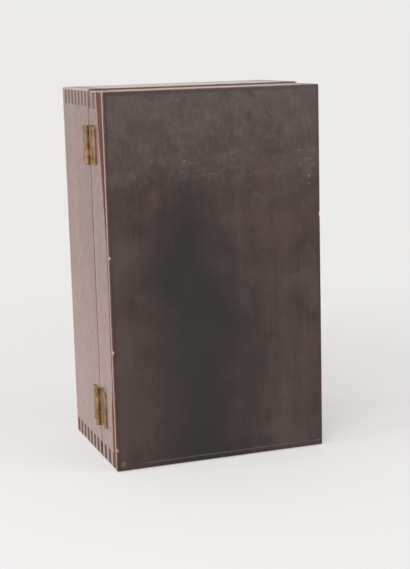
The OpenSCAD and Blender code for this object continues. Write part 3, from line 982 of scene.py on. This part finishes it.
def rounded_block(low: Point, high: Point, radius: float, step: float,
                  dents: tuple[Spot, ...] = (), wave: float = 0.0) -> Surface:
    """Return a block with rounded edges, slight waves and dents.

    A point p of the box's grid goes to c + radius * (p - c) / |p - c|, where c is p held
    inside the box shrunk by the radius. It then sinks along that direction by the depth of
    each dent, times exp(-(d / size)^2) at a distance d, and by the wave, times the sum of
    three sines brought between 0 and 1.

    Args:
        low: Lowest corner.
        high: Highest corner.
        radius: Radius of the edges.
        step: Spacing of the grid on the flats.
        dents: Centre, size and depth of each dent.
        wave: Greatest depth of the waves.

    Returns:
        The closed surface, its faces turned outwards.
    """
    lowest, highest = np.array(low), np.array(high)
    grid = box_grid(lowest, highest, radius, step)
    core = np.clip(grid.points, lowest + radius, highest - radius)
    out = grid.points - core
    out /= np.linalg.norm(out, axis=1, keepdims=True)
    sink = np.zeros(len(out))
    for centre, size, depth in dents:
        gap = np.linalg.norm(grid.points - np.array(centre), axis=1)
        sink += depth * np.exp(-(gap / size) ** 2)
    if wave:
        swell = sum(np.sin(grid.points @ np.array(turns) + phase) for turns, phase in WAVES)
        sink += wave * (swell / (2 * len(WAVES)) + 0.5)
    return Surface(core + out * (radius - sink[:, None]), grid.faces)


def stand_in(piece: bpy.types.Object, node: str) -> None:
    """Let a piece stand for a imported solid.

    Args:
        piece: Piece that takes the solid's body and finish, and replaces it.
        node: Name of the solid.
    """
    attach(piece, frame["nodes"][node]["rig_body"])
    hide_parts(node)
    log.info("%s stands for %s", piece.name, node)


def eased_copy(node: str, width: float, material: bpy.types.Material,
               limit: float = 40.0) -> bpy.types.Object:
    """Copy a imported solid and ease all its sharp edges.

    Args:
        node: Name of the solid that the copy stands for.
        width: Width of the eased edges.
        material: Its finish.
        limit: Least angle between two faces whose edge is eased, in degrees.

    Returns:
        The object, which rides on the solid's body and replaces it.
    """
    mesh = frame["nodes"][node].data.copy()
    mesh.name = f"{node}_eased"
    for extra in ("custom_normal", "sharp_edge", "sharp_face"):
        if extra in mesh.attributes:
            mesh.attributes.remove(mesh.attributes[extra])
    work = bmesh.new()
    work.from_mesh(mesh)
    bmesh.ops.remove_doubles(work, verts=work.verts, dist=WELD)
    bmesh.ops.dissolve_limit(work, angle_limit=FLAT, verts=work.verts, edges=work.edges,
                             use_dissolve_boundaries=False)
    work.to_mesh(mesh)
    work.free()
    mesh.polygons.foreach_set("use_smooth", np.ones(len(mesh.polygons), bool))
    mesh.materials.clear()
    mesh.materials.append(material)
    obj = placed(f"{node}_eased", mesh)
    bevel = obj.modifiers.new("eased", "BEVEL")
    bevel.width, bevel.segments, bevel.limit_method = width, 2, "ANGLE"
    bevel.angle_limit = math.radians(limit)
    bevel.harden_normals = True
    bevel.use_clamp_overlap = True
    stand_in(obj, node)
    return obj


def block_for(node: str, material: bpy.types.Material, radius: float, step: float,
              dents: tuple[Spot, ...] = (), wave: float = 0.0) -> bpy.types.Object:
    """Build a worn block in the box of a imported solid.

    Args:
        node: Name of the solid that the block stands for.
        material: Its finish.
        radius: Radius of its edges.
        step: Spacing of its grid on the flats.
        dents: Centre, size and depth of each dent.
        wave: Greatest depth of its waves.

    Returns:
        The object, which rides on the solid's body and replaces it.
    """
    low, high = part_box(node)
    obj = rounded_block(low, high, radius, step, dents, wave).piece(f"{node}_worn", material)
    stand_in(obj, node)
    return obj


@dataclass
class Frames:
    """Comb-jointed boards of the body and of the door."""

    body: tuple[str, ...] = ("body_top_board", "body_bottom_board", "body_left_board",
                             "body_right_board")
    door: tuple[str, ...] = ("door_top_rail", "door_bottom_rail", "door_left_stile",
                             "door_right_stile")
    gouged: tuple[str, ...] = ("body_left_board", "body_bottom_board")
    gouges: tuple[Spot, ...] = (((-SIDE_X, -17.3 * MM, 9.0 * MM), 2.6 * MM, 0.9),)
    ease: float = 0.16 * MM

    def build(self) -> None:
        """Dress the eight boards."""
        low = (-SIDE_X, cad_box[0][1], cad_box[0][2])
        high = (SIDE_X, cad_box[1][1], cad_box[1][2])
        for node in self.body + self.door:
            lying = "top" in node or "bottom" in node
            finish = VarnishedWood(f"{node}_varnish", Axis.ACROSS if lying else Axis.UPRIGHT,
                                   low, high, strip=node in self.door,
                                   gouges=self.gouges if node in self.gouged else ())
            eased_copy(node, self.ease, finish.make())


@dataclass
class Panels:
    """Plywood panels of the door and of the back."""

    radius: float = 1.2 * MM
    grid: float = 3.0 * MM
    wave: float = 0.10 * MM
    dent: float = 0.5 * MM
    chips: tuple[Spot, ...] = (
        ((-SIDE_X, FRONT_Y, 161 * MM), 1.5 * MM, 0.8),
        ((-SIDE_X, FRONT_Y, 91 * MM), 1.7 * MM, 0.8),
        ((SIDE_X, FRONT_Y, 182 * MM), 1.6 * MM, 0.7),
        ((-SIDE_X + 0.1 * MM, FRONT_Y, 16.5 * MM), 1.9 * MM, 0.9),
    )
    rubs: tuple[Spot, ...] = (
        ((-78.3 * MM, FRONT_Y, 5.5 * MM), 2.6 * MM, 0.35),
        ((74.5 * MM, FRONT_Y, 212 * MM), 1.3 * MM, 0.6),
        ((74.5 * MM, FRONT_Y, 206 * MM), 1.0 * MM, 0.4),
        ((-24.0 * MM, FRONT_Y, 228 * MM), 1.6 * MM, 0.5),
    )

    def build(self) -> None:
        """Dress the two panels."""
        for node, outward, chips in (("door_panel", -1.0, self.chips), ("back_panel", 1.0, ())):
            low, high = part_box(node)
            finish = VarnishedPanel(f"{node}_varnish", tuple(low), tuple(high), outward,
                                    chips=chips, rubs=self.rubs)
            dents = tuple((centre, size, self.dent) for centre, size, _ in chips)
            block_for(node, finish.make(), self.radius, self.grid, dents, self.wave)


@dataclass
class Metalwork:
    """Butt hinges, hooks and their screws."""

    ease: float = 0.12 * MM
    limit: float = 35.0
    kinds: tuple[str, ...] = ("hinge", "leaf_screws", "hook")
    hooks: tuple[str, ...] = ("upper_hook", "lower_hook")
    leaf: AgedBrass = AgedBrass("hinge_brass")
    hook: AgedBrass = AgedBrass("hook_brass", bright=(0.44, 0.29, 0.14))
    screw: AgedBrass = AgedBrass("screw_brass", bright=(0.250, 0.155, 0.070),
                                 brown=(0.100, 0.055, 0.026))

    def build(self) -> None:
        """Dress every brass piece."""
        leaf, hook, screw = self.leaf.make(), self.hook.make(), self.screw.make()
        for node in sorted(frame["nodes"]):
            if not any(kind in node for kind in self.kinds):
                continue
            finish = screw if "screw" in node else leaf
            if node in self.hooks:
                finish = hook
            eased_copy(node, self.ease, finish, self.limit)


@dataclass
class Fittings:
    """Rails for the foot, cheeks for the limb and the block on the door, with their felts."""

    rails: tuple[str, ...] = ("foot_rail_left", "foot_rail_right")
    stop: str = "foot_stop"
    caps: tuple[str, ...] = ("foot_cap_left", "foot_cap_right")
    blocks: tuple[str, ...] = ("limb_cheek_left", "limb_cheek_right", "tube_pad_block")
    felts: tuple[str, ...] = ("limb_felt_left", "limb_felt_right", "tube_pad_felt")
    radius: float = 0.5 * MM
    grid: float = 6.0 * MM
    wave: float = 0.05 * MM
    felt_radius: float = 0.6 * MM
    felt_grid: float = 1.2 * MM
    felt_wave: float = 0.22 * MM

    def build(self) -> None:
        """Dress the wooden fittings and their felts."""
        deep = PlainWood("rail_wood", Axis.DEEP).make()
        tall = PlainWood("block_wood", Axis.UPRIGHT).make()
        wide = PlainWood("stop_wood", Axis.ACROSS).make()
        felt = Felt("green_felt").make()
        for node in self.rails:
            block_for(node, deep, self.radius, self.grid, wave=self.wave)
        block_for(self.stop, wide, self.radius, self.grid, wave=self.wave)
        for node in self.caps:
            eased_copy(node, self.radius, deep)
        for node in self.blocks:
            eased_copy(node, self.radius, tall)
        for node in self.felts:
            block_for(node, felt, self.felt_radius, self.felt_grid, wave=self.felt_wave)


@dataclass(frozen=True)
class Lamp:
    """Square area lamp that points at the middle of the case."""

    name: str
    place: Point
    size: float
    power: float
    aim: Point = (0.0, 0.0, 0.13)

    def build(self) -> None:
        """Make the lamp."""
        data = bpy.data.lights.new(self.name, "AREA")
        data.shape, data.size, data.energy = "SQUARE", self.size, self.power
        turn = (Vector(self.aim) - Vector(self.place)).to_track_quat("-Z", "Y")
        obj = placed(self.name, data)
        obj.matrix_world = Matrix.Translation(self.place) @ turn.to_matrix().to_4x4()


def seen(tree: bpy.types.NodeTree) -> Socket:
    """Find where the eye, a mirror or glass sees the background.

    Args:
        tree: Node tree that gets the nodes.

    Returns:
        The greatest of the three kinds of ray, 1 or 0.
    """
    path = tree.nodes.new("ShaderNodeLightPath")
    share = path.outputs["Is Camera Ray"]
    for ray in ("Is Glossy Ray", "Is Transmission Ray"):
        most = tree.nodes.new("ShaderNodeMath")
        most.operation = "MAXIMUM"
        tree.links.new(share, most.inputs[0])
        tree.links.new(path.outputs[ray], most.inputs[1])
        share = most.outputs[0]
    return share


@dataclass
class Studio:
    """Pale floor, plain soft light and the camera."""

    place: Point = (-0.3258, -0.9586, 0.3097)
    yaw: float = 19.323
    pitch: float = 10.351
    roll: float = -1.555
    lens: float = 82.6
    sensor: float = 36.0
    pale: Colour = (0.835, 0.825, 0.815)
    sky: Colour = (1.0, 0.99, 0.98)
    sky_power: float = 0.36
    floor_half: float = 6.0
    floor_drop: float = 0.2 * MM
    floor_rough: float = 0.9
    glow_near: float = 0.45
    glow_reach: Band = (0.18, 0.75)
    lamps: tuple[Lamp, ...] = (
        Lamp("key", (-1.2, -1.6, 1.5), 1.4, 30.0),
        Lamp("side", (-2.0, -0.2, 1.0), 1.5, 23.0),
        Lamp("fill", (1.6, -1.5, 1.1), 1.6, 16.0),
        Lamp("top", (0.1, 0.3, 2.0), 1.5, 6.0),
    )

    def camera(self) -> None:
        """Make the camera at the fitted place and angle."""
        data = bpy.data.cameras.new("camera")
        data.sensor_fit, data.sensor_width, data.lens = "AUTO", self.sensor, self.lens
        obj = placed("camera", data)
        turn = (Matrix.Rotation(math.radians(-self.yaw), 4, "Z")
                @ Matrix.Rotation(math.radians(90.0 - self.pitch), 4, "X")
                @ Matrix.Rotation(math.radians(self.roll), 4, "Z"))
        obj.matrix_world = Matrix.Translation(self.place) @ turn
        bpy.context.scene.camera = obj

    def floor(self) -> None:
        """Make the floor, which keeps the shadow and glows more to the eye further out."""
        r = Recipe("pale_floor")
        r.put(r.shader.inputs["Base Color"], self.pale)
        r.put(r.shader.inputs["Roughness"], self.floor_rough)
        glow = r.add("ShaderNodeEmission", {"Color": self.pale, "Strength": 1.0})
        x, y, _ = r.parts(r.place)
        far = r.maths("SQRT", r.maths("ADD", r.times(x, x), r.times(y, y)))
        fade = r.linear(r.step(far, *self.glow_reach), 1.0 - self.glow_near, self.glow_near)
        both = r.add("ShaderNodeMixShader", {0: r.times(seen(r.tree), fade),
                                             1: r.shader.outputs[0], 2: glow.outputs[0]})
        r.put(r.output.inputs["Surface"], both.outputs[0])
        half = self.floor_half
        corners = [(-half, -half, 0), (half, -half, 0), (half, half, 0), (-half, half, 0)]
        mesh = bpy.data.meshes.new("floor")
        mesh.from_pydata(corners, [], [(0, 1, 2, 3)])
        mesh.materials.append(r.material)
        obj = placed("floor", mesh)
        obj.location.z = -self.floor_drop

    def world(self) -> None:
        """Make the even pale surroundings."""
        world = bpy.data.worlds.new("surroundings")
        bpy.context.scene.world = world
        world.use_nodes = True
        tree = world.node_tree
        tree.nodes.clear()
        lit = tree.nodes.new("ShaderNodeBackground")
        shown = tree.nodes.new("ShaderNodeBackground")
        mix = tree.nodes.new("ShaderNodeMixShader")
        out = tree.nodes.new("ShaderNodeOutputWorld")
        lit.inputs["Color"].default_value = (*self.sky, 1.0)
        lit.inputs["Strength"].default_value = self.sky_power
        shown.inputs["Color"].default_value = (*self.pale, 1.0)
        tree.links.new(seen(tree), mix.inputs[0])
        tree.links.new(lit.outputs[0], mix.inputs[1])
        tree.links.new(shown.outputs[0], mix.inputs[2])
        tree.links.new(mix.outputs[0], out.inputs["Surface"])

    def build(self) -> None:
        """Make the whole studio."""
        self.camera()
        self.floor()
        self.world()
        for lamp in self.lamps:
            lamp.build()
        bpy.context.scene.view_settings.view_transform = "Standard"
        log.info("studio")


def main() -> None:
    """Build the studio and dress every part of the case."""
    logging.basicConfig(level=logging.INFO, format="%(name)s: %(message)s")
    for part in (Studio(), Frames(), Panels(), Metalwork(), Fittings()):
        part.build()


if __name__ == "__main__":
    main()
